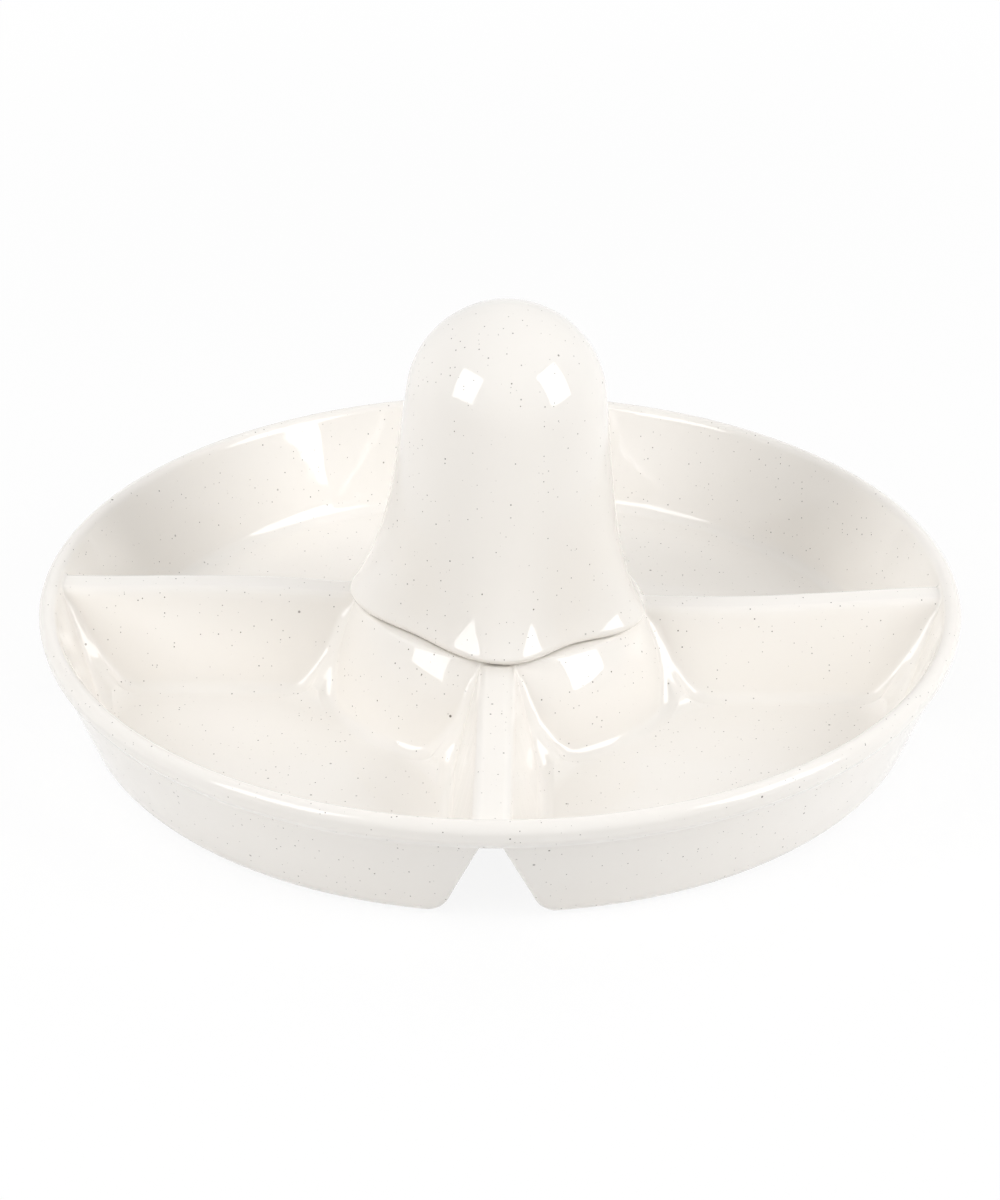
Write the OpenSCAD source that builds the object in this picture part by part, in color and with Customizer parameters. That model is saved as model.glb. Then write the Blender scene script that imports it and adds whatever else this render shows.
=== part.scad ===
// Round serving tray of glazed clay with three compartments and a domed cover.
// The tray is one formed sheet: each divider is a fold that stays open beneath,
// and a ring in the middle holds a dip well. The hollow cover stands on the
// ring, with a rim that drops into the well, and lifts straight off.

/* [Tray] */
// Width of the tray across its lip
tray_w = 320; // [290:1:360]
// Height of the lip above the table
tray_h = 43.5; // [42.5:0.5:50]
// Slope of the tray's walls from upright, in degrees
draft = 20; // [15:0.5:23]
// Thickness of the floor
floor_t = 6; // [4.5:0.1:7.5]
// Thickness of the sloping walls, measured level
wall_t = 5.9; // [4.8:0.1:6.6]
// Radius where the floor turns up into the walls
floor_round = 9; // [5:0.5:11]
// Radius of a compartment's upright corners at the top
corner_round = 3; // [2:0.5:8]
// Radius of those corners on the floor, to which they open out on the way down
floor_corner = 14; // [8:0.5:17]
// Radius of the bottom edges that meet the table
foot_round = 8; // [4:0.5:10]

/* [Lip] */
// Thickness of the rounded lip
lip_t = 6.2; // [5.4:0.1:7]
// Height of the lip band on the outside
lip_h = 8; // [6:0.5:9]
// How far the lip band stands out from the wall below it
lip_proud = 1.5; // [0.8:0.1:2]

/* [Dividers] */
// Directions of the dividers in degrees, the first one to the right
divider_angles = [0, 180, 270];
// Width of a divider across its top, before the edges are rounded
divider_w = 10.4; // [9:0.2:14]
// Radius of the top edges of a divider
divider_round = 3.8; // [2:0.1:4.2]
// Depth from the lip to the top of a divider at the wall
divider_drop = 3.7; // [3.2:0.1:5]
// Radius where the top of a divider meets the wall
end_round = 2; // [1:0.1:2.2]
// Width of the fold beneath a divider, across its top
fold_w = 6.2; // [4:0.2:8]
// Thickness of the clay above the fold
fold_t = 6.8; // [5:0.1:8]
// Radius of the fold's top edges
fold_round = 1.4; // [0.6:0.1:2]

/* [Ring and well] */
// Width of the ring across its top, before its edge is rounded
ring_w = 99.2; // [96:0.4:108]
// Height of the ring's flat top above the table
ring_h = 38.4; // [36:0.1:40]
// Radius of the ring's outer top edge
ring_round = 4; // [2.5:0.1:5]
// How far the ring stands above the dividers where they meet it
ring_step = 1.9; // [1.2:0.1:3]
// Width of the ring's top between its edge and the well
ring_top = 11.6; // [11.2:0.1:13]
// Thickness of the ring's top
ring_t = 5.5; // [4.5:0.1:6.5]
// Height of the well's floor above the table
well_floor = 8; // [7:0.5:12]
// Slope of the well's wall from upright, in degrees
well_draft = 12; // [8:0.5:16]
// Thickness of the well's wall and floor
well_t = 5.2; // [4:0.1:5.8]
// Radius at the bottom of the well
well_round = 7; // [4:0.5:9]
// Radius of the well's mouth
mouth_round = 2; // [1:0.1:3]

/* [Cover] */
// Height of the cover above the ring
cover_h = 108; // [95:1:120]
// Width of the dome where it starts to round over
dome_w = 68.4; // [62:0.4:72]
// How much each side spreads evenly from the dome to the hem
spread = 8.3; // [6:0.1:10]
// How much further each side flares just above the hem
flare = 7.1; // [5:0.1:9]
// How late the flare comes in, as a power
flare_power = 4.7; // [3:0.1:7]
// Depth of the waves in the hem, to each side of its middle line
wave = 4.3; // [0:0.1:4.8]
// How soon the waves fade upwards, as a power
wave_power = 4; // [3:0.1:7]
// Directions of the folds that stand out at the hem, in degrees
wave_angles = [-172, -87, -30, 42, 112];
// How far the top of the dome leans to the right
lean = 3.4; // [0:0.1:5]
// Radius of the hem's outer edge
hem_round = 4.2; // [3:0.1:5]
// Thickness of the cover's wall
cover_t = 5; // [3.6:0.1:6]
// Height of the rim that drops into the well
rim_h = 6; // [4:0.5:9]
// Thickness of that rim
rim_t = 4; // [3:0.1:4.5]
// Clearance between that rim and the well
rim_gap = 0.8; // [0.5:0.1:1.4]
// Clearance under the cover where it stands on the ring
seat_gap = 0.3; // [0.1:0.1:0.5]

/* [Hidden] */

cream = [0.95, 0.93, 0.88];
turn_fn = 144;      // sides of the turned forms
edge_steps = 5;     // steps round a small edge
curve_step = 4;     // widest step along a compartment's curved side, in degrees
cover_sides = 72;   // points round the cover
overrun = 2;        // how far a cut runs past what it cuts
seam = 0.2;         // how far a compartment stays off the turned walls

// Points of an arc round a centre, from one angle to another
function arc(c, r, a0, a1, steps = edge_steps) =
    [for (i = [0 : steps]) let (a = a0 + (a1 - a0) * i / steps) c + r * [cos(a), sin(a)]];

slope = tan(draft);
lip_r = lip_t / 2;
lip_z = tray_h - lip_r;
band_z = tray_h - lip_h;
band_share = 0.6;                   // the band's lower edge, as a share of how far it is proud
band_round = lip_proud * band_share;
top_z = tray_h - divider_drop;      // top of a divider at the wall
low_z = ring_h - ring_step;         // top of a divider at the ring
well_z = well_floor - well_t;       // underside of the well
well_w = ring_w - 2 * ring_top;     // width of the well's mouth

// Radius of each turned wall at a height
function wall_in(z) = tray_w / 2 - lip_r - lip_r / cos(draft) - (lip_z - z) * slope;
function wall_out(z) = wall_in(z) + wall_t;
function ring_out(z) = ring_w / 2 + (ring_h - z) * slope;
function ring_in(z) = ring_out(z) - wall_t;
function well_in(z) = well_w / 2 - (ring_h - z) * tan(well_draft);
function well_out(z) = well_in(z) + well_t;

// Hollow between the ring and the well, open beneath
hollow_z = ring_h - ring_t;
hollow_r = (ring_in(hollow_z) - well_out(hollow_z)) / 2;
hollow_mid = (ring_in(hollow_z) + well_out(hollow_z)) / 2;

// A compartment at the height of the dividers' tops
pocket_out = wall_in(top_z);
pocket_in = ring_out(low_z);

// Height of a divider's top at a radius
function divider_z(r) = low_z + (top_z - low_z) * (r - pocket_in) / (pocket_out - pocket_in);

// Outline of the turned body from the well, over the ring, the dividers'
// tops and the lip, and back beneath
module tray_outline() {
    // Well, inside
    well_mid = well_in(well_floor + well_round * (1 - sin(well_draft))) - well_round * cos(well_draft);
    mouth_z = ring_h - mouth_round;
    mouth_r = well_in(mouth_z + mouth_round * sin(well_draft)) + mouth_round * cos(well_draft);
    // Ring's top edge
    edge_z = ring_h - ring_round;
    edge_r = ring_out(edge_z + ring_round * sin(draft)) - ring_round * cos(draft);
    edge_end = max(draft, asin((low_z - edge_z) / ring_round));
    // Where the dividers' tops turn up into the wall
    end_z = top_z + end_round;
    end_r = wall_in(end_z - end_round * sin(draft)) - end_round * cos(draft);
    // Lip band
    band_r = wall_out(band_z) + lip_proud - band_round;
    // Bottom edges
    foot_z = foot_round * (1 - sin(draft));
    foot_out = wall_out(foot_z) - foot_round * cos(draft);
    foot_in = ring_in(foot_z) + foot_round * cos(draft);
    base_mid = well_out(well_z + well_round * (1 - sin(well_draft))) - well_round * cos(well_draft);
    polygon(concat(
        [[0, well_floor]],
        arc([well_mid, well_floor + well_round], well_round, -90, -well_draft),
        arc([mouth_r, mouth_z], mouth_round, 180 - well_draft, 90),
        arc([edge_r, edge_z], ring_round, 90, edge_end),
        [[pocket_in, low_z]],
        arc([end_r, end_z], end_round, -90, -draft),
        arc([tray_w / 2 - lip_r, lip_z], lip_r, 180 - draft, 0, 3 * edge_steps),
        arc([band_r, band_z + band_round], band_round, 0, -90),
        [[wall_out(band_z), band_z]],
        arc([foot_out, foot_round], foot_round, -draft, -90),
        arc([foot_in, foot_round], foot_round, -90, draft - 180),
        arc([hollow_mid, hollow_z - hollow_r], hollow_r, 0, 180, 2 * edge_steps),
        arc([base_mid, well_z + well_round], well_round, -well_draft, -90),
        [[0, well_z]]));
}

// Solid between rings of points. All rings have the same even count, and the
// flat ends are strips of triangles across a ring, from its first and last
// points to its two middle ones.
module loft(rings) {
    n = len(rings[0]);
    m = len(rings);
    sides = [for (j = [0 : m - 2], i = [0 : n - 1])
        let (a = j * n + i, b = j * n + (i + 1) % n)
        each [[a, b + n, b], [a, a + n, b + n]]];
    ends = [for (i = [0 : n / 2 - 2])
        let (a = i + 1, b = n - 2 - i, c = n - 1 - i, top = (m - 1) * n)
        each [[i, a, b], [i, b, c], [top + b, top + a, top + i], [top + c, top + b, top + i]]];
    polyhedron([for (ring = rings) each ring], concat(sides, ends));
}

// Wall of a compartment from the floor up. Each level holds its height, how
// far the curved sides have come in there, and how far the sides along the
// dividers have, which round over at the top.
fillet_s = (top_z - floor_t - floor_round * (1 - sin(draft))) * slope + floor_round * cos(draft);
edge_s = -divider_round * tan((90 - draft) / 2);
edge_stop = 70;     // where the rounding ends, just short of level
wall_levels = concat(
    [for (i = [0 : edge_steps])
        let (a = 90 - (90 - draft) * i / edge_steps, s = fillet_s - floor_round * cos(a))
        [floor_t + floor_round * (1 - sin(a)), s, s]],
    [for (i = [0 : edge_steps])
        let (a = draft + (edge_stop - draft) * i / edge_steps, z = top_z - divider_round * (1 - sin(a)))
        [z, (top_z - z) * slope, edge_s + divider_round * cos(a)]]);

// Radius of a compartment's corners where its curved sides have come in by s
function corner_at(s) = corner_round + (floor_corner - corner_round) * pow(max(0, s) / fillet_s, 2);

// Outline of the compartment between two dividers, as a sector with round
// corners: s is how far its curved sides have come in, and w is the distance
// of its straight sides from the middle of the dividers
function sector(a0, a1, s, w) =
    let (ro = pocket_out - s - seam, ri = pocket_in + s + seam, rc = corner_at(s))
    let (bo = asin((w + rc) / (ro - rc)), bi = asin((w + rc) / (ri + rc)))
    let (steps = ceil((a1 - a0) / curve_step))
    concat(
        arc((ro - rc) * [cos(a0 + bo), sin(a0 + bo)], rc, a0 - 90, a0 + bo),
        [for (i = [1 : steps - 1]) let (a = a0 + bo + (a1 - a0 - 2 * bo) * i / steps)
            ro * [cos(a), sin(a)]],
        arc((ro - rc) * [cos(a1 - bo), sin(a1 - bo)], rc, a1 - bo, a1 + 90),
        arc((ri + rc) * [cos(a1 - bi), sin(a1 - bi)], rc, a1 + 90, a1 - bi + 180),
        [for (i = [1 : steps - 1]) let (a = a1 - bi - (a1 - a0 - 2 * bi) * i / steps)
            ri * [cos(a), sin(a)]],
        arc((ri + rc) * [cos(a0 + bi), sin(a0 + bi)], rc, a0 + bi + 180, a0 + 270));

// Space of one compartment
module compartment(a0, a1) {
    high_z = tray_h + overrun;
    high_w = divider_w / 2 + wall_levels[len(wall_levels) - 1][2];
    loft(concat(
        [for (v = wall_levels) [for (p = sector(a0, a1, v[1], divider_w / 2 + v[2]))
            [p[0], p[1], floor_t + (v[0] - floor_t) * (divider_z(norm(p)) - floor_t) / (top_z - floor_t)]]],
        [[for (p = sector(a0, a1, (top_z - high_z) * slope, high_w)) [p[0], p[1], high_z]]]));
}

// Section of the fold beneath a divider: x is across it, y is its height
function fold_section(top) =
    let (foot_z = foot_round * (1 - sin(draft)))
    let (foot_x = fold_w / 2 + (top - foot_z) * slope + foot_round * cos(draft))
    let (top_x = fold_w / 2 - fold_round * tan((90 - draft) / 2))
    let (half = concat(
        arc([top_x, top - fold_round], fold_round, 90, draft, 3),
        arc([foot_x, foot_round], foot_round, 180 + draft, 270),
        [[foot_x, -overrun]]))
    concat(half, [for (i = [len(half) - 1 : -1 : 0]) [-half[i][0], half[i][1]]]);

// Fold beneath a divider, from the hollow round the well out through the wall
module fold(angle) {
    ends = [tray_w / 2 + overrun, hollow_mid];
    rotate([0, 0, angle])
        loft([for (r = ends) [for (p = fold_section(divider_z(r) - fold_t)) [r, p[0], p[1]]]]);
}

module tray() {
    count = len(divider_angles);
    color(cream)
        difference() {
            rotate_extrude($fn = turn_fn) tray_outline();
            for (i = [0 : count - 1]) {
                a0 = divider_angles[i];
                a1 = i < count - 1 ? divider_angles[i + 1] : divider_angles[0] + 360;
                compartment(a0, a1);
                fold(a0);
            }
        }
}

// Cover: heights and shares that its outside and its inside both follow
seat_z = ring_h + seat_gap;
cover_z = ring_h + cover_h;
dome_r = dome_w / 2;
dome_z = cover_z - dome_r;
hem_z = seat_z + hem_round;
tilt = atan(spread / (dome_z - hem_z));
neck_z = dome_z + dome_r * sin(tilt);
lean_power = 1.2;

function side_z(u) = neck_z - (neck_z - hem_z) * u;
function side_r(u) = dome_r * cos(tilt) + spread * u + flare * pow(u, flare_power);
function wave_depth(u) = wave * pow(u, wave_power);
function lean_at(z) = lean * pow(max(0, z - seat_z) / cover_h, lean_power);

// Wave of the hem at an angle: 1 on a fold that stands out, -1 between two
function wave_at(a) =
    [for (i = [0 : len(wave_angles) - 1])
        let (f0 = wave_angles[i])
        let (f1 = i < len(wave_angles) - 1 ? wave_angles[i + 1] : wave_angles[0] + 360)
        if (a >= f0 && a < f1) cos(360 * (a - f0) / (f1 - f0))][0];

// Ring of points round the leaning middle line of the cover
function cover_ring(z, r, depth, sides) =
    [for (i = [0 : sides - 1]) let (a = wave_angles[0] + 360 * i / sides)
        [lean_at(z), 0, z] + (r + depth * wave_at(a)) * [cos(a), sin(a), 0]];

module cover_outside() {
    body_steps = 12;
    cap_steps = 9;
    cap_stop = 88;
    loft(concat(
        [for (i = [0 : edge_steps - 1]) let (a = 90 * (1 - i / edge_steps))
            cover_ring(hem_z - hem_round * sin(a), side_r(1) - hem_round * (1 - cos(a)), wave, cover_sides)],
        [for (i = [0 : body_steps]) let (u = 1 - i / body_steps)
            cover_ring(side_z(u), side_r(u), wave_depth(u), cover_sides)],
        [for (i = [1 : cap_steps]) let (a = tilt + (cap_stop - tilt) * i / cap_steps)
            cover_ring(dome_z + dome_r * sin(a), dome_r * cos(a), 0, cover_sides)]));
}

// Outer radius of the rim that drops into the well, at a height
function rim_out(z) = well_in(z) - rim_gap;

module cover_inside() {
    sides = cover_sides / 2;
    body_steps = 8;
    cap_steps = 6;
    cap_stop = 84;
    low_share = 0.86; // of the way down to the hem, where the inside starts to draw in to the rim
    mouth = rim_out(seat_z) - rim_t;
    r = dome_r - cover_t;
    loft(concat(
        [cover_ring(seat_z - rim_h - overrun, mouth, 0, sides), cover_ring(seat_z, mouth, 0, sides)],
        [for (i = [0 : body_steps]) let (u = low_share * (1 - i / body_steps))
            cover_ring(side_z(u), side_r(u) - wave_depth(u) - cover_t, 0, sides)],
        [for (i = [1 : cap_steps]) let (a = tilt + (cap_stop - tilt) * i / cap_steps)
            cover_ring(dome_z + r * sin(a), r * cos(a), 0, sides)]));
}

module rim_outline() {
    low = seat_z - rim_h;
    high = seat_z + hem_round / 2;
    edge_share = 0.25;
    edge = rim_t * edge_share;
    polygon(concat(
        [[rim_out(seat_z) - rim_t - overrun, low], [rim_out(low) - edge, low]],
        [[rim_out(low + edge), low + edge], [rim_out(seat_z), seat_z], [rim_out(seat_z), high]],
        [[rim_out(seat_z) - rim_t - overrun, high]]));
}

module dome_cover() {
    color(cream)
        difference() {
            union() {
                cover_outside();
                rotate_extrude($fn = turn_fn) rim_outline();
            }
            cover_inside();
        }
}

tray();
dome_cover();
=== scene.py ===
import bpy
import numpy as np
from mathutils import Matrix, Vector


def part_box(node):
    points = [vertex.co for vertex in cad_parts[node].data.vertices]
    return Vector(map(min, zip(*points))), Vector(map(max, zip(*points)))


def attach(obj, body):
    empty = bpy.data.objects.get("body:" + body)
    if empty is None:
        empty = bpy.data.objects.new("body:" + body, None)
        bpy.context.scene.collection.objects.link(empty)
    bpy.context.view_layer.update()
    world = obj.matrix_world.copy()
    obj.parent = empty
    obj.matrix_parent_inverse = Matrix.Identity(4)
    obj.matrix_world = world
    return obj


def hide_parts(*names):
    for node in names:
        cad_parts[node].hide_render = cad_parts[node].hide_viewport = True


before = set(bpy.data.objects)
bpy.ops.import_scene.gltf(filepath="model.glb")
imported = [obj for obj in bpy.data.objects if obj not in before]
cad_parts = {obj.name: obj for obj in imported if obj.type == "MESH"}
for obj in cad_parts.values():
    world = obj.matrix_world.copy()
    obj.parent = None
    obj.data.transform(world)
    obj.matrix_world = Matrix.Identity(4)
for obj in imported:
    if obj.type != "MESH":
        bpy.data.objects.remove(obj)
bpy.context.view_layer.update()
trayLow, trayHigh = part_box("tray")
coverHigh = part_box("dome_cover")[1]
print("frame loaded")


# Shapes that both pieces share

def sectionArc(centre, radius, start, end, count):
    # points of an arc in a section: out from the middle line, then up; angles in degrees
    turn = np.radians(np.linspace(start, end, count))
    return np.stack([centre[0] + radius * np.cos(turn), centre[1] + radius * np.sin(turn)], 1)


def turnUp(run, radius, draft):
    # height over a flat: nothing up to its end, then a round, then a straight side at the draft
    bend = np.clip(run, 0, radius * np.cos(draft))
    rise = radius - np.sqrt(radius ** 2 - bend ** 2)
    return rise + np.maximum(run - radius * np.cos(draft), 0) / np.tan(draft)


def runOf(rise, radius, draft):
    # the other way round: how far past the flat's end a side has that height
    bend = np.clip(rise, 0, radius * (1 - np.sin(draft)))
    return np.sqrt(radius ** 2 - (radius - bend) ** 2) + (rise - bend) * np.tan(draft)


def capOver(height, top, radius, draft):
    # a rising side rounded over to a flat top, by a circle that touches the side and the top
    start = -radius * np.tan((np.pi / 2 - draft) / 2)
    run = (top - height) * np.tan(draft) - start
    rounded = top - radius + np.sqrt(radius ** 2 - np.clip(run, 0, radius) ** 2)
    return np.where(run > radius * np.cos(draft), height, rounded)


def roundedMax(a, b, radius):
    # the larger of two, with a quarter round of that radius where they meet
    gap = np.minimum(np.abs(a - b), radius)
    return np.maximum(a, b) + radius - (gap + np.sqrt(2 * radius ** 2 - gap ** 2)) / 2


def roundedMin(a, b, radius):
    return -roundedMax(-a, -b, radius)


def easeOver(share):
    # from 0 to 1, level at both ends
    return share ** 2 * (3 - 2 * share)


def stations(*spans):
    # values along a line: each span is (from, to, count), and its end starts the next one
    return np.concatenate([np.linspace(a, b, count, endpoint=False) for a, b, count in spans])


def heightNormals(height, x, y, up):
    # a height's normal: its fall along x and along y, measured over a short step, beside one up;
    # up is -1 for a face that looks down
    step = 0.00006
    fallX = (height(x - step, y) - height(x + step, y)) / (2 * step)
    fallY = (height(x, y - step) - height(x, y + step)) / (2 * step)
    normal = np.stack([fallX, fallY, np.ones_like(x)], -1) * up
    return normal / np.linalg.norm(normal, axis=-1, keepdims=True)


def makeShell(name, rings, firstPole, lastPole, normals=None):
    # a closed skin through rings of points, from the pole on top to the pole beneath; where
    # normals are given, each four-sided face is cut between the two corners that face most alike
    levels, around = rings.shape[:2]
    column = np.arange(around)
    beside = (column + 1) % around
    row = np.arange(levels - 1)[:, None] * around
    quads = np.stack([row + column, row + around + column, row + around + beside, row + beside], -1)
    quads = quads.reshape(-1, 4)
    if normals is not None:
        a, b, c, d = (normals.reshape(-1, 3)[quads[:, k]] for k in range(4))
        turned = ((b * d).sum(1) > (a * c).sum(1))[:, None]
        first = np.where(turned, quads[:, [0, 1, 3]], quads[:, [0, 1, 2]])
        second = np.where(turned, quads[:, [1, 2, 3]], quads[:, [0, 2, 3]])
        quads = np.concatenate([first, second])
    lastRow = (levels - 1) * around
    topFan = np.stack([np.full(around, levels * around), column, beside], -1)
    footFan = np.stack([np.full(around, levels * around + 1), lastRow + beside, lastRow + column], -1)
    points = np.concatenate([rings.reshape(-1, 3), [firstPole, lastPole]])
    mesh = bpy.data.meshes.new(name)
    mesh.from_pydata(points, [], quads.tolist() + topFan.tolist() + footFan.tolist())
    mesh.polygons.foreach_set("use_smooth", np.ones(len(mesh.polygons), bool))
    mesh.update()
    piece = bpy.data.objects.new(name, mesh)
    bpy.context.scene.collection.objects.link(piece)
    return piece


# Tray: one formed sheet with three folds, a ring and a well

tray = {
    "draft": np.radians(20),                # slope of the walls from upright
    "sideDraft": np.radians(15),            # slope of the dividers' sides
    "floor": 0.0052,                        # height of the floor's upper face
    "wall": 0.0059,                         # thickness of the walls, measured level
    "floorRound": 0.0055,                   # where the floor turns up
    "cornerTop": 0.0006,                    # compartment corners, level with the dividers' tops
    "cornerRound": 0.003,                   # the same a little lower
    "cornerFade": 0.003,                    # how far in from the top they reach that
    "floorCorner": 0.022,                   # the same on the floor
    "footRound": 0.008,                     # edges that meet the table
    "lipRadius": 0.0031,
    "lipBand": 0.0078,                      # height of the band under the lip
    "bandTaper": 0.0006,                    # how much narrower the band is at its lower edge
    "bandSoft": 0.0021,                     # half the height over which it runs into the wall
    "dividers": np.radians([0, 180, 270.7]),
    "dividerWidth": 0.0112,
    "dividerRound": 0.0031,
    "dividerDrop": 0.0028,                  # from the lip down to a divider's end
    "foldWidth": 0.0064,                    # the hollow under a divider
    "foldDraft": np.radians(16),
    "foldBend": 0.012,                      # where the fold meets the table
    "foldDepth": 0.0068,                    # clay above that hollow
    "foldRound": 0.0014,
    "notchDraft": np.radians(22),           # the fold's slope where it leaves the wall
    "notchStart": 0.125,                    # radius from which it changes to that
    "notchRun": 0.025,                      # and over how much
    "notchRound": 0.0014,                   # edge of the notch in the outer wall
    "ringWidth": 0.0992,
    "ringHeight": 0.0384,
    "ringRound": 0.0018,
    "ringBulge": 0.085,                     # radius of the ring's side, which swells a little
    "ringSlopes": np.radians([31, 17]),     # slope of that side at its top and at its foot
    "ringStep": 0.0008,                     # ring above the dividers
    "ringTop": 0.0116,                      # from the ring's edge to the well
    "ringThick": 0.0055,
    "wellFloor": 0.008,
    "wellDraft": np.radians(12),
    "wellWall": 0.0052,
    "wellRound": 0.007,
    "mouthRound": 0.002,
    "tilt": 0.037,                          # fall of the ring's top to the right, from the kiln
    "tiltRadius": 0.062,                    # it fades from here to the wall
    "gridCore": 0.045,                      # the grid keeps its angles inside this radius
    "gridReach": 0.026,                     # and its distance to a divider's middle up to here
    "gridStep": np.radians(4.2),            # about the angle between lines elsewhere
}
rimRadius = (trayHigh.x - trayLow.x) / 2
rimHeight = trayHigh.z
slope = np.tan(tray["draft"])
wellSlope = np.tan(tray["wellDraft"])
lipHeight = rimHeight - tray["lipRadius"]
dividerEnd = rimHeight - tray["dividerDrop"]            # top of a divider at the wall
dividerStart = tray["ringHeight"] - tray["ringStep"]    # top of a divider at the ring


def wallInside(z):
    lip = tray["lipRadius"]
    return rimRadius - lip - lip / np.cos(tray["draft"]) - (lipHeight - z) * slope


def wallOutside(z):
    return wallInside(z) + tray["wall"]


def ringOutside(z):
    return tray["ringWidth"] / 2 + (tray["ringHeight"] - z) * slope


def ringInside(z):
    return ringOutside(z) - tray["wall"]


def wellInside(z):
    return tray["ringWidth"] / 2 - tray["ringTop"] - (tray["ringHeight"] - z) * wellSlope


def wellOutside(z):
    return wellInside(z) + tray["wellWall"]


pocketOut = wallInside(dividerEnd)
pocketIn = ringOutside(dividerStart)
# how far the wall and a divider's side come in from their tops to the flat of the floor
floorStart = runOf(dividerEnd - tray["floor"], tray["floorRound"], tray["draft"])
sideStart = runOf(dividerEnd - tray["floor"], tray["floorRound"], tray["sideDraft"])


def dividerTop(radius):
    # straight along the divider, from the ring up to the wall
    along = (radius - pocketIn) / (pocketOut - pocketIn)
    return dividerStart + (dividerEnd - dividerStart) * along


def fromDivider(x, y):
    # distance from the middle line of the nearest divider
    across = np.full(x.shape, np.inf)
    for angle in tray["dividers"]:
        along = x * np.cos(angle) + y * np.sin(angle)
        side = y * np.cos(angle) - x * np.sin(angle)
        across = np.minimum(across, np.hypot(side, np.minimum(along, 0)))
    return across


def ringArc():
    # the swelling part of the ring's side: the middle of its circle, and where it ends at the foot
    high, low = tray["ringSlopes"]
    bulge, edge = tray["ringBulge"], tray["ringRound"]
    topZ = tray["ringHeight"] - edge * (1 - np.sin(high))
    middle = np.array([pocketIn - bulge * np.cos(high), topZ - bulge * np.sin(high)])
    return middle, middle + bulge * np.array([np.cos(low), np.sin(low)])


ringMiddle, ringLow = ringArc()
ringFlat = pocketIn - tray["ringRound"] * np.cos(tray["ringSlopes"][0])
ringFoot = ringLow[0] + runOf(ringLow[1] - tray["floor"], tray["floorRound"], tray["ringSlopes"][1])


def ringHeightAt(radius):
    # flat top, its edge, the swelling side, a straight foot and the round into the floor
    edge, bulge = tray["ringRound"], tray["ringBulge"]
    out = np.clip(radius - ringFlat, 0, edge)
    top = tray["ringHeight"] - edge + np.sqrt(edge ** 2 - out ** 2)
    swell = ringMiddle[1] + np.sqrt(bulge ** 2 - np.clip(radius - ringMiddle[0], 0, bulge) ** 2)
    foot = tray["floor"] + turnUp(ringFoot - radius, tray["floorRound"], tray["ringSlopes"][1])
    return np.where(radius < pocketIn, top, np.where(radius < ringLow[0], swell, foot))


def wellSection():
    # from near the middle of the well, up its side and over the ring
    wellDraft = np.degrees(tray["wellDraft"])
    low, mouth = tray["wellRound"], tray["mouthRound"]
    lowZ, mouthZ = tray["wellFloor"] + low, tray["ringHeight"] - mouth
    lowR = wellInside(lowZ - low * np.sin(tray["wellDraft"])) - low * np.cos(tray["wellDraft"])
    mouthR = wellInside(mouthZ + mouth * np.sin(tray["wellDraft"])) + mouth * np.cos(tray["wellDraft"])
    floor = np.stack([stations((0.005, lowR, 4)), np.full(4, tray["wellFloor"])], 1)
    lowArc = sectionArc((lowR, lowZ), low, -90, -wellDraft, 10)
    mouthArc = sectionArc((mouthR, mouthZ), mouth, 180 - wellDraft, 90, 8)
    side = np.linspace(lowArc[-1], mouthArc[0], 9)[1:-1]
    flat = np.linspace(mouthArc[-1], (ringFlat, tray["ringHeight"]), 6)[1:-1]
    return np.concatenate([floor, lowArc, side, mouthArc, flat])


def underSection():
    # from the foot's inner edge, up the hollow round the well and down the well's outside
    draft, wellDraft = np.degrees(tray["draft"]), np.degrees(tray["wellDraft"])
    foot, low = tray["footRound"], tray["wellRound"]
    footR = ringInside(foot * (1 - np.sin(tray["draft"]))) + foot * np.cos(tray["draft"])
    archZ = tray["ringHeight"] - tray["ringThick"]
    archR = (ringInside(archZ) - wellOutside(archZ)) / 2
    middle = (ringInside(archZ) + wellOutside(archZ)) / 2
    baseZ = tray["wellFloor"] - tray["wellWall"]
    lowR = wellOutside(baseZ + low * (1 - np.sin(tray["wellDraft"]))) - low * np.cos(tray["wellDraft"])
    footArc = sectionArc((footR, foot), foot, -90, draft - 180, 9)
    arch = sectionArc((middle, archZ - archR), archR, 0, 180, 11)
    lowArc = sectionArc((lowR, baseZ + low), low, -wellDraft, -90, 8)
    outer = np.linspace(footArc[-1], arch[0], 12)[1:-1]
    inner = np.linspace(arch[-1], lowArc[0], 7)[1:-1]
    base = np.stack([stations((lowR, 0.005, 4))[1:], np.full(3, baseZ)], 1)
    return np.concatenate([footArc, outer, arch, inner, lowArc, base]), middle


wellPoints = wellSection()
underPoints, hollowMiddle = underSection()


def comeIn(height):
    # how far in from its top a side has come at a height
    return floorStart - runOf(height - tray["floor"], tray["floorRound"], tray["draft"])


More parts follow.
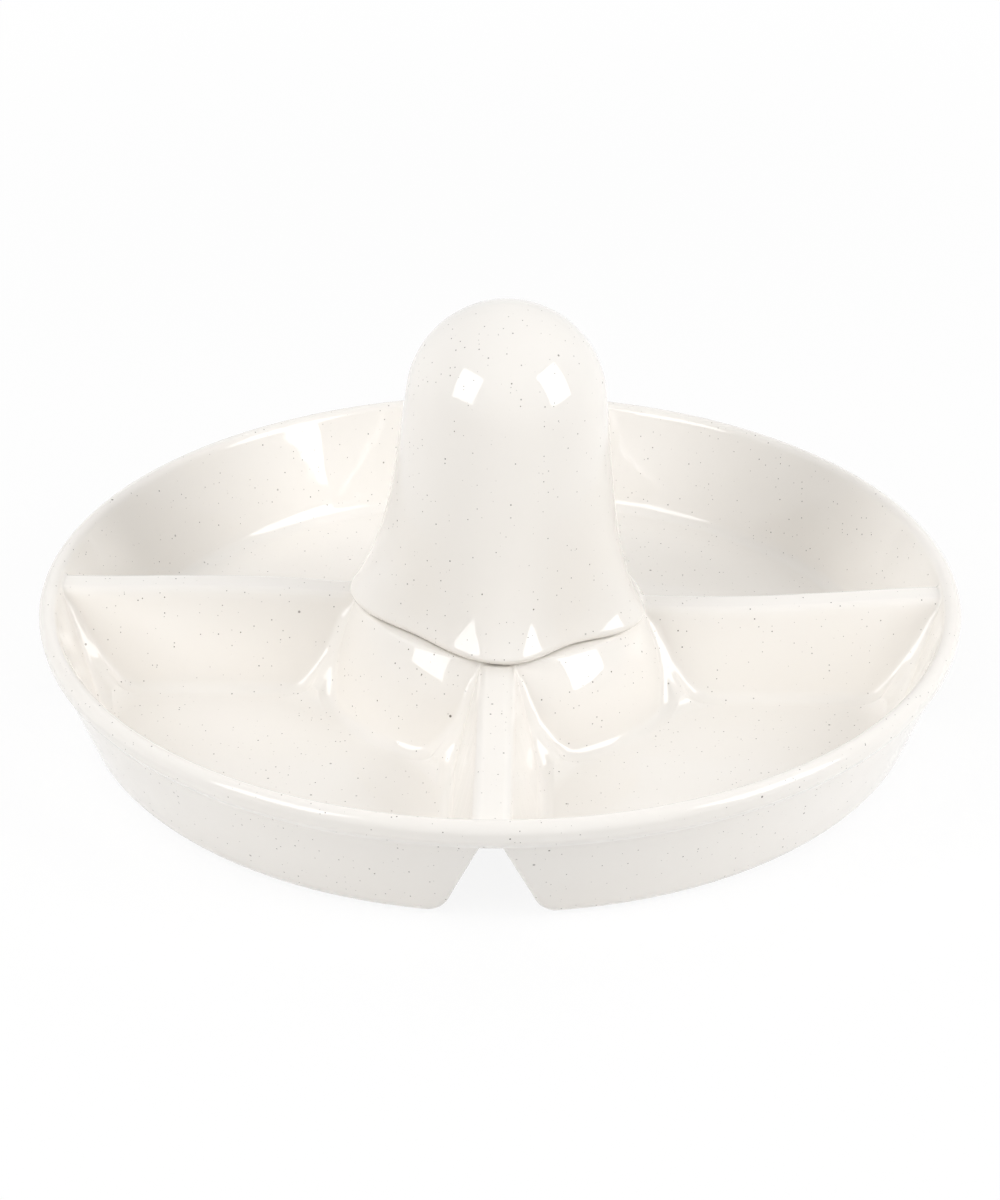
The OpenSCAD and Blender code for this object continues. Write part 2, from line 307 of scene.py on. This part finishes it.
def trayTop(x, y):
    # height of the upper face. The wall, the dividers and the ring each give their height as a
    # way in along the wall's own slope, and beyond their feet as the distance from them; the
    # least of the three, rounded where two of them meet, is turned back into a height
    radius = np.hypot(x, y)
    floor, turn = tray["floor"], tray["floorRound"]
    fall = (np.clip(dividerTop(radius), dividerStart, dividerEnd) - floor) / (dividerEnd - floor)
    past = fromDivider(x, y) - tray["dividerWidth"] / 2 - sideStart
    side = floor + turnUp(-past, turn, tray["sideDraft"])
    side = capOver(side, dividerEnd, tray["dividerRound"], tray["sideDraft"])
    fromSide = np.where(past < 0, comeIn(side), floorStart + past)
    past = radius - ringFoot
    ring = floor + (ringHeightAt(radius) - floor) * (dividerEnd - floor) / (dividerStart - floor)
    fromRing = np.where(past < 0, comeIn(ring), floorStart + past)
    fromWall = pocketOut - radius
    near = tray["cornerRound"]
    inward = roundedMin(roundedMin(fromWall, fromRing, near), fromSide, near)
    low = np.clip(inward / floorStart, 0, 1) ** 2
    high = easeOver(1 - np.clip(inward / tray["cornerFade"], 0, 1))
    corner = near + (tray["floorCorner"] - near) * low + (tray["cornerTop"] - near) * high
    inward = roundedMin(roundedMin(fromWall, fromRing, corner), fromSide, corner)
    return floor + turnUp(floorStart - inward, turn, tray["draft"]) * fall


def settle(x, y, z):
    # heights once the ring has tilted: heights shrink to the right of it and grow to the left,
    # in full as far as the ring's side and not at all at the wall
    fade = np.clip((np.hypot(x, y) - tray["tiltRadius"]) / (pocketOut - tray["tiltRadius"]), 0, 1)
    share = 1 - easeOver(fade)
    return z * (1 - tray["tilt"] * x * share / tray["ringHeight"])


def trayFoot(x, y):
    # height of the lower face: the outer wall, the hollow round the well and the folds
    radius = np.hypot(x, y)
    draft, bend = tray["draft"], tray["footRound"]
    footZ = bend * (1 - np.sin(draft))
    outer = turnUp(radius - wallOutside(footZ) + bend * np.cos(draft), bend, draft)
    order = np.argsort(underPoints[:, 0])
    inner = np.interp(radius, underPoints[order, 0], underPoints[order, 1])
    turned = np.where(radius > underPoints[0, 0], outer, inner)
    top = dividerTop(radius) - tray["foldDepth"]
    out = easeOver(np.clip((radius - tray["notchStart"]) / tray["notchRun"], 0, 1))
    lean = tray["foldDraft"] + (tray["notchDraft"] - tray["foldDraft"]) * out
    foldBend = tray["foldBend"]
    fromTop = top - foldBend * (1 - np.sin(lean))
    foldFoot = tray["foldWidth"] / 2 + fromTop * np.tan(lean) + foldBend * np.cos(lean)
    fold = capOver(turnUp(foldFoot - fromDivider(x, y), foldBend, lean), top, tray["foldRound"], lean)
    edge = np.minimum(tray["notchRound"] / slope, np.minimum(turned, fold)) + 1e-9
    return np.where(radius > hollowMiddle, roundedMax(turned, fold, edge), turned)


def settledTop(x, y):
    return settle(x, y, trayTop(x, y))


def settledFoot(x, y):
    return settle(x, y, trayFoot(x, y))


def trayGrid(radius):
    # angles of the grid's lines at each radius: beside a divider they keep their distance from
    # its middle line, and between two dividers they spread evenly
    reach = tray["gridReach"]
    half = stations((0, 0.002, 3), (0.002, 0.017, 26), (0.017, 0.0235, 14), (0.0235, reach, 3))
    half = np.append(half, reach)
    offsets = np.concatenate([-half[:0:-1], half])
    span = np.maximum(radius, tray["gridCore"])[:, None]
    lines = []
    count = len(tray["dividers"])
    for i, angle in enumerate(tray["dividers"]):
        lines.append(angle + np.arcsin(offsets / span))
        gap = (tray["dividers"][(i + 1) % count] - angle) % (2 * np.pi)
        free = int(round(gap / tray["gridStep"]))
        share = np.linspace(0, 1, free + 2)[1:-1]
        edge = np.arcsin(reach / span)
        lines.append(angle + edge + (gap - 2 * edge) * share)
    return np.concatenate(lines, 1)


def makeTray():
    lip, soft = tray["lipRadius"], tray["bandSoft"]
    lipFrom = rimRadius - lip - lip * np.cos(tray["draft"])
    # rows lie closest where the faces bend: at the ring, at its foot and at the wall's foot
    topRadii = stations((ringFlat, pocketIn, 8), (pocketIn, 0.0615, 15), (0.0615, 0.0685, 13),
                        (0.0685, 0.092, 13), (0.092, 0.112, 4), (0.112, 0.1345, 13), (0.1345, 0.142, 13),
                        (0.142, 0.152, 10), (0.152, lipFrom, 9))
    bandZ = rimHeight - tray["lipBand"]
    lipArc = sectionArc((rimRadius - lip, lipHeight), lip, 180 - np.degrees(tray["draft"]), 0, 16)
    # the band runs down from the lip and then eases into the wall
    z = stations((lipHeight, bandZ + soft, 4), (bandZ + soft, bandZ - soft, 12))[1:]
    bandR = rimRadius - tray["bandTaper"] * (lipHeight - z) / (lipHeight - bandZ)
    ease = np.clip((bandZ + soft - z) / (2 * soft), 0, 1)
    bandR = bandR + (wallOutside(z) - bandR) * easeOver(ease)
    edge = np.concatenate([lipArc, np.stack([bandR, z], 1)])
    footRadii = stations((wallOutside(bandZ - soft), 0.1395, 35), (0.1395, 0.133, 8),
                         (0.133, underPoints[0, 0], 11))
    parts, exact = [], []
    for section in (wellPoints, topRadii, edge, footRadii, underPoints):
        radius = section if section.ndim == 1 else section[:, 0]
        angles = trayGrid(radius)
        x, y = radius[:, None] * np.cos(angles), radius[:, None] * np.sin(angles)
        normals = np.zeros((*x.shape, 3))
        if section is topRadii:
            z = trayTop(x, y)
            normals[1:-1] = heightNormals(settledTop, x, y, 1)[1:-1]
        elif section is footRadii or section is underPoints:
            z = trayFoot(x, y)
            if section is underPoints:
                z = np.where(radius[:, None] > hollowMiddle, z, section[:, 1:2])
            else:
                normals[2:-1] = heightNormals(settledFoot, x, y, -1)[2:-1]
        else:
            z = np.broadcast_to(section[:, 1:2], x.shape)
        parts.append(np.stack([x, y, settle(x, y, z)], -1))
        exact.append(normals)
    rings = np.concatenate(parts)
    base = (0, 0, tray["wellFloor"] - tray["wellWall"])
    exact = np.concatenate(exact)
    piece = makeShell("glazed_tray", rings, (0, 0, tray["wellFloor"]), base, exact)
    # the wide faces shade by their exact normals, the narrow turned ones by their mesh's own
    shown = np.empty(len(piece.data.vertices) * 3)
    piece.data.vertex_normals.foreach_get("vector", shown)
    shown = shown.reshape(-1, 3)
    exact = exact.reshape(-1, 3)
    known = np.flatnonzero(np.abs(exact).sum(1) > 0)
    shown[known] = exact[known]
    piece.data.normals_split_custom_set_from_vertices(shown)
    return piece


trayPiece = makeTray()
print("tray made", len(trayPiece.data.polygons))


# Cover: a hollow bell with a wavy hem and a rim that drops into the well

cover = {
    "height": 0.108,
    "domeWidth": 0.0684,
    "columns": 240,                 # points round each ring
    "spread": 0.0083,               # even widening of each side down to the hem
    "flare": 0.0071,                # further widening just above the hem
    "flarePower": 4.7,
    "wave": 0.0043,
    "wavePower": 4,
    "folds": np.radians([-172, -87, -21, 42, 112]),     # where the hem stands out
    "foldShare": [0.75, 1, 0.8, 1, 1],                  # how far each does
    "lean": 0.0034,
    "leanPower": 1.2,
    "hemRound": 0.0021,
    "wall": 0.005,
    "rimHeight": 0.006,
    "rimWall": 0.004,
    "rimGap": 0.0008,
    "seatGap": 0.0003,
    "insideStart": 0.86,            # where the inside starts to draw in, as a share of the way down
}
seatZ = tray["ringHeight"] + cover["seatGap"]
coverTop = coverHigh.z
domeRadius = cover["domeWidth"] / 2
domeZ = coverTop - domeRadius
hemZ = seatZ + cover["hemRound"]
coverTilt = np.arctan(cover["spread"] / (domeZ - hemZ))
neckZ = domeZ + domeRadius * np.sin(coverTilt)


def coverSide(down):
    # radius and height of the side at shares of the way down from the dome to the hem
    radius = domeRadius * np.cos(coverTilt) + cover["spread"] * down
    return radius + cover["flare"] * down ** cover["flarePower"], neckZ - (neckZ - hemZ) * down


def hemWave(angle):
    # a cosine from fold to fold: that fold's share on a fold, and as much below nought halfway
    folds = np.append(cover["folds"], cover["folds"][0] + 2 * np.pi)
    turned = folds[0] + (angle - folds[0]) % (2 * np.pi)
    phase = np.interp(turned, folds, np.arange(len(folds)))
    share = np.array(cover["foldShare"] + cover["foldShare"][:1])
    first = np.minimum(phase.astype(int), len(share) - 2)
    share = share[first] + (share[first + 1] - share[first]) * easeOver(phase % 1)
    return np.cos(2 * np.pi * phase) * share


def coverRings(radius, height, depth):
    # rings round the leaning middle line, with waves of the given depth
    angle = np.linspace(0, 2 * np.pi, cover["columns"], endpoint=False)
    out = radius[:, None] + depth[:, None] * hemWave(angle)[None, :]
    rise = np.maximum(height - seatZ, 0) / cover["height"]
    lean = cover["lean"] * rise[:, None] ** cover["leanPower"]
    return np.stack([lean + out * np.cos(angle), out * np.sin(angle), height[:, None] + 0 * out], -1)


def makeCover():
    still = np.zeros
    # the dome down to its side, the side, and the hem's rounded edge
    cap = np.radians(np.linspace(88, np.degrees(coverTilt), 40))
    down = np.linspace(0, 1, 70)[1:]
    sideR, sideZ = coverSide(down)
    hem = np.radians(stations((0, 90, 14)))[1:]
    hemR, hemRound = sideR[-1], cover["hemRound"]
    rimOut = wellInside(seatZ) - cover["rimGap"]
    rimLow = seatZ - cover["rimHeight"]
    rimFootR = wellInside(rimLow) - cover["rimGap"]
    rimIn = rimOut - cover["rimWall"]
    edge = cover["rimWall"] / 4
    # the rim's outer side, its softened foot and the start of its inner side
    outerRim = np.array([[rimOut, seatZ], [rimOut, seatZ - 0.0003],
                         [rimFootR + edge * 0.2, rimLow + edge],
                         [rimFootR - edge * 0.3, rimLow + edge * 0.3], [rimFootR - edge, rimLow],
                         [rimIn + edge * 0.5, rimLow], [rimIn, rimLow + edge * 0.5]])
    # the inside goes up again, first at the side's slope and then under the dome
    up = np.linspace(cover["insideStart"], 0, 30)
    inR, inZ = coverSide(up)
    inR = inR - cover["wave"] * up ** cover["wavePower"] - cover["wall"]
    capIn = np.radians(np.linspace(np.degrees(coverTilt), 86, 20))[1:]
    bowl = domeRadius - cover["wall"]
    shelf = stations((hemR - hemRound, rimOut, 6))
    parts = [
        coverRings(domeRadius * np.cos(cap), domeZ + domeRadius * np.sin(cap), still(len(cap))),
        coverRings(sideR, sideZ, cover["wave"] * down ** cover["wavePower"]),
        coverRings(hemR - hemRound * (1 - np.cos(hem)), hemZ - hemRound * np.sin(hem),
                   np.full(len(hem), cover["wave"])),
        coverRings(shelf, np.full(6, seatZ), cover["wave"] * np.linspace(1, 0, 6, endpoint=False)),
        coverRings(outerRim[:, 0], outerRim[:, 1], still(len(outerRim))),
        coverRings(np.array([rimIn]), np.array([seatZ]), still(1)),
        coverRings(inR, inZ, still(len(inR))),
        coverRings(bowl * np.cos(capIn), domeZ + bowl * np.sin(capIn), still(len(capIn))),
    ]
    rings = np.concatenate(parts)
    rings[..., 2] -= tray["tilt"] * rings[..., 0]
    leanTop = cover["lean"] * ((coverTop - seatZ) / cover["height"]) ** cover["leanPower"]
    leanIn = cover["lean"] * ((domeZ + bowl - seatZ) / cover["height"]) ** cover["leanPower"]
    topZ, inZ = coverTop - tray["tilt"] * leanTop, domeZ + bowl - tray["tilt"] * leanIn
    return makeShell("glazed_cover", rings, (leanTop, 0, topZ), (leanIn, 0, inZ))


coverPiece = makeCover()
print("cover made", len(coverPiece.data.polygons))


# Glaze

glaze = {
    "cream": (0.884, 0.848, 0.798),
    "pale": (0.903, 0.878, 0.842),
    "mottle": (22, 4),                      # scale and detail of the change between those two
    "speck": (0.10, 0.08, 0.065),
    "fineSpecks": (640, 0.00034, 0.00014),  # cells per metre, size of the largest, soft edge
    "coarseSpecks": (200, 0.00058, 0.00025),
    "speckPower": 2.5,                      # the larger, the fewer are near the largest
    "faintest": 0.4,                        # strength of the faintest specks
    "roughness": 0.035,
    "refraction": 1.5,
    "ripple": (60, 2),                      # scale and detail of the glaze's unevenness
    "rippleDepth": 0.00011,
}


def addNode(tree, kind, **values):
    node = tree.nodes.new(kind)
    for key, value in values.items():
        setattr(node, key, value)
    return node


def addMath(tree, operation, first, second=None, clamp=False):
    node = addNode(tree, "ShaderNodeMath", operation=operation, use_clamp=clamp)
    for socket, value in zip(node.inputs, (first, second)):
        if value is None:
            continue
        if isinstance(value, (int, float)):
            socket.default_value = value
        else:
            tree.links.new(value, socket)
    return node.outputs[0]


def makeSpeckGroup():
    # round specks of many sizes: a cell's random number sets how large its speck is, and the
    # distance from the cell's point, less that size, gives the mask
    tree = bpy.data.node_groups.new("ironSpecks", "ShaderNodeTree")
    face = tree.interface
    face.new_socket("Position", in_out="INPUT", socket_type="NodeSocketVector")
    for name in ("Cells per metre", "Largest", "Softness"):
        face.new_socket(name, in_out="INPUT", socket_type="NodeSocketFloat")
    face.new_socket("Mask", in_out="OUTPUT", socket_type="NodeSocketFloat")
    groupIn = addNode(tree, "NodeGroupInput")
    groupOut = addNode(tree, "NodeGroupOutput")
    cells = addNode(tree, "ShaderNodeTexVoronoi", voronoi_dimensions="3D", feature="F1")
    tree.links.new(groupIn.outputs["Position"], cells.inputs["Vector"])
    tree.links.new(groupIn.outputs["Cells per metre"], cells.inputs["Scale"])
    parts = addNode(tree, "ShaderNodeSeparateColor")
    tree.links.new(cells.outputs["Color"], parts.inputs[0])
    size = addMath(tree, "POWER", parts.outputs[0], glaze["speckPower"])
    size = addMath(tree, "MULTIPLY", size, groupIn.outputs["Largest"])
    inside = addMath(tree, "SUBTRACT", size, cells.outputs["Distance"])
    mask = addMath(tree, "DIVIDE", inside, groupIn.outputs["Softness"], clamp=True)
    strength = addMath(tree, "MULTIPLY_ADD", parts.outputs[1], 1 - glaze["faintest"])
    strength.node.inputs[2].default_value = glaze["faintest"]
    mask = addMath(tree, "MULTIPLY", mask, strength)
    tree.links.new(mask, groupOut.inputs["Mask"])
    return tree


speckGroup = makeSpeckGroup()


def placeSpecks(tree, position, cells, largest, softness):
    node = addNode(tree, "ShaderNodeGroup", node_tree=speckGroup)
    tree.links.new(position, node.inputs["Position"])
    node.inputs["Cells per metre"].default_value = cells
    node.inputs["Largest"].default_value = largest * cells
    node.inputs["Softness"].default_value = softness * cells
    return node.outputs["Mask"]


def addNoise(tree, position, scale, detail):
    noise = addNode(tree, "ShaderNodeTexNoise")
    tree.links.new(position, noise.inputs["Vector"])
    noise.inputs["Scale"].default_value = scale
    noise.inputs["Detail"].default_value = detail
    return noise.outputs[0]


def makeGlaze(name):
    material = bpy.data.materials.new(name)
    material.use_nodes = True
    tree = material.node_tree
    shader = tree.nodes["Principled BSDF"]
    position = addNode(tree, "ShaderNodeTexCoord").outputs["Object"]
    base = addNode(tree, "ShaderNodeMix", data_type="RGBA")
    tree.links.new(addNoise(tree, position, *glaze["mottle"]), base.inputs[0])
    base.inputs[6].default_value = (*glaze["cream"], 1)
    base.inputs[7].default_value = (*glaze["pale"], 1)
    fine = placeSpecks(tree, position, *glaze["fineSpecks"])
    coarse = placeSpecks(tree, position, *glaze["coarseSpecks"])
    specks = addMath(tree, "MAXIMUM", fine, coarse)
    colour = addNode(tree, "ShaderNodeMix", data_type="RGBA")
    tree.links.new(specks, colour.inputs[0])
    tree.links.new(base.outputs[2], colour.inputs[6])
    colour.inputs[7].default_value = (*glaze["speck"], 1)
    tree.links.new(colour.outputs[2], shader.inputs["Base Color"])
    shader.inputs["Roughness"].default_value = glaze["roughness"]
    shader.inputs["IOR"].default_value = glaze["refraction"]
    bump = addNode(tree, "ShaderNodeBump")
    bump.inputs["Strength"].default_value = 1
    bump.inputs["Distance"].default_value = glaze["rippleDepth"]
    tree.links.new(addNoise(tree, position, *glaze["ripple"]), bump.inputs["Height"])
    tree.links.new(bump.outputs[0], shader.inputs["Normal"])
    return material


glazeMaterial = makeGlaze("speckledGlaze")
for piece in (trayPiece, coverPiece):
    piece.data.materials.append(glazeMaterial)
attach(trayPiece, "tray")
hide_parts("tray")
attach(coverPiece, "cover")
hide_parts("dome_cover")
print("glaze made")


# Floor, light and camera

studio = {
    "floorSize": 6,
    "floorColour": (0.93, 0.93, 0.93),
    "floorRoughness": 0.9,
    "floorGlow": 0.9,       # share of the floor by the tray that looks plain white
    "floorNear": 0.3,       # from here that share grows
    "floorFar": 1.0,        # and from here all of the floor does
    "worldLight": 0.03,
    "boxDistance": 1.3,
    "camera": (271.7, 28.14, 1.0, 0.0352),      # azimuth, elevation, distance, height looked at
    "lens": (85.4, 36),
}
# each box: azimuth and elevation, width, height, power, and whether the gloss shows it
softboxes = {
    "leftBox": (219, 33.5, 0.62, 0.68, 6.3, True),
    "rightBox": (338, 30.5, 0.66, 0.80, 8.7, True),
    "topFront": (270, 58, 0.9, 0.6, 4.2, False),
    "topBack": (90, 58, 0.9, 0.6, 1.8, False),
    "topLeft": (180, 58, 0.9, 0.6, 2.5, False),
    "backLeft": (140, 25, 0.9, 0.6, 3.5, False),
    "backRight": (40, 25, 0.9, 0.6, 4.3, False),
}


def lookedAt(tree):
    # 1 for what the camera sees, by itself or in the gloss, and 0 for what only gives light
    path = addNode(tree, "ShaderNodeLightPath")
    seen = addMath(tree, "MAXIMUM", path.outputs["Is Camera Ray"], path.outputs["Is Glossy Ray"])
    return addMath(tree, "MAXIMUM", seen, path.outputs["Is Transmission Ray"])


def makeFloor():
    half = studio["floorSize"] / 2
    corners = [(-half, -half, 0), (half, -half, 0), (half, half, 0), (-half, half, 0)]
    mesh = bpy.data.meshes.new("floor")
    mesh.from_pydata(corners, [], [(0, 1, 2, 3)])
    floor = bpy.data.objects.new("floor", mesh)
    bpy.context.scene.collection.objects.link(floor)
    material = bpy.data.materials.new("paleFloor")
    material.use_nodes = True
    tree = material.node_tree
    shader = tree.nodes["Principled BSDF"]
    shader.inputs["Base Color"].default_value = (*studio["floorColour"], 1)
    shader.inputs["Roughness"].default_value = studio["floorRoughness"]
    shader.inputs["Specular IOR Level"].default_value = 0
    glow = addNode(tree, "ShaderNodeEmission")
    mix = addNode(tree, "ShaderNodeMixShader")
    away = addNode(tree, "ShaderNodeVectorMath", operation="LENGTH")
    tree.links.new(addNode(tree, "ShaderNodeTexCoord").outputs["Object"], away.inputs[0])
    grow = addNode(tree, "ShaderNodeMapRange", interpolation_type="SMOOTHSTEP")
    tree.links.new(away.outputs["Value"], grow.inputs["Value"])
    grow.inputs["From Min"].default_value = studio["floorNear"]
    grow.inputs["From Max"].default_value = studio["floorFar"]
    grow.inputs["To Min"].default_value = studio["floorGlow"]
    share = addMath(tree, "MULTIPLY", lookedAt(tree), grow.outputs["Result"])
    tree.links.new(share, mix.inputs[0])
    tree.links.new(shader.outputs[0], mix.inputs[1])
    tree.links.new(glow.outputs[0], mix.inputs[2])
    tree.links.new(mix.outputs[0], tree.nodes["Material Output"].inputs["Surface"])
    mesh.materials.append(material)


def makeWorld():
    world = bpy.data.worlds.new("studioWorld")
    bpy.context.scene.world = world
    world.use_nodes = True
    tree = world.node_tree
    background = tree.nodes["Background"]
    strength = addMath(tree, "MULTIPLY_ADD", lookedAt(tree), 1 - studio["worldLight"])
    strength.node.inputs[2].default_value = studio["worldLight"]
    tree.links.new(strength, background.inputs["Strength"])
    background.inputs["Color"].default_value = (1, 1, 1, 1)


def wayTo(azimuth, elevation):
    # direction from the object; azimuth 0 is its right side and 270 its front
    azimuth, elevation = np.radians(azimuth), np.radians(elevation)
    level = np.cos(elevation)
    return Vector((np.cos(azimuth) * level, np.sin(azimuth) * level, np.sin(elevation)))


def makeSoftbox(name, azimuth, elevation, width, height, power, shows):
    lamp = bpy.data.lights.new(name, "AREA")
    lamp.shape = "RECTANGLE"
    lamp.size, lamp.size_y = width, height
    lamp.energy = power
    box = bpy.data.objects.new(name, lamp)
    box.visible_glossy = shows
    bpy.context.scene.collection.objects.link(box)
    way = wayTo(azimuth, elevation)
    box.location = way * studio["boxDistance"]
    box.rotation_euler = way.to_track_quat("Z", "Y").to_euler()


def makeCamera():
    lens = bpy.data.cameras.new("photoLens")
    lens.lens, lens.sensor_width = studio["lens"]
    camera = bpy.data.objects.new("photoCamera", lens)
    bpy.context.scene.collection.objects.link(camera)
    azimuth, elevation, distance, target = studio["camera"]
    way = wayTo(azimuth, elevation)
    camera.location = Vector((0, 0, target)) + distance * way
    camera.rotation_euler = way.to_track_quat("Z", "Y").to_euler()
    bpy.context.scene.camera = camera


makeFloor()
makeWorld()
for name, values in softboxes.items():
    makeSoftbox(name, *values)
makeCamera()
bpy.context.scene.view_settings.view_transform = "Standard"
print("studio made")
